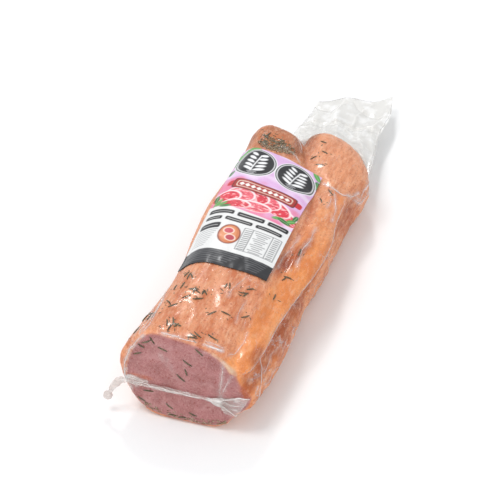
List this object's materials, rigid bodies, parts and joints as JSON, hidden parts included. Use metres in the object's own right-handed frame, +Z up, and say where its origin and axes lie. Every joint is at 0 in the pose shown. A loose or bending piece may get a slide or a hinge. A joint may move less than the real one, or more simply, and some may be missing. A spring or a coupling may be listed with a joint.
{
  "type": "canadian bacon loin in a shrink bag",
  "caption": "Smoked boneless pork loin strewn with dried herbs, sealed in a clear shrink bag with a printed label, lying on its flat underside.",
  "frame": {"origin": "middle of the flat resting face, under the middle of the loin", "axes": "+Z up; the loin lies along Y with its cut face to -Y and the bag's empty tail to +Y; +X is to the right when the cut face is seen from the front"},
  "size_m": [0.1352, 0.4903, 0.0787],
  "materials": {
    "smoked_pork": "moist smoked pork with orange fat and a pink cut face under tight clear film",
    "dried_herb": "dry brown herb needles under the film",
    "printed_label": "smooth printed plastic label, satin to glossy",
    "clear_film": "thin clear shrink film, hazy white where it is wrinkled",
    "gathered_film": "many layers of clear film gathered and sealed, whitish at the folds"
  },
  "bodies": {
    "root": {"loin": "smoked_pork", "label": "printed_label", "bag_tail": "clear_film", "bag_gather": "gathered_film"}
  },
  "joints": []
}
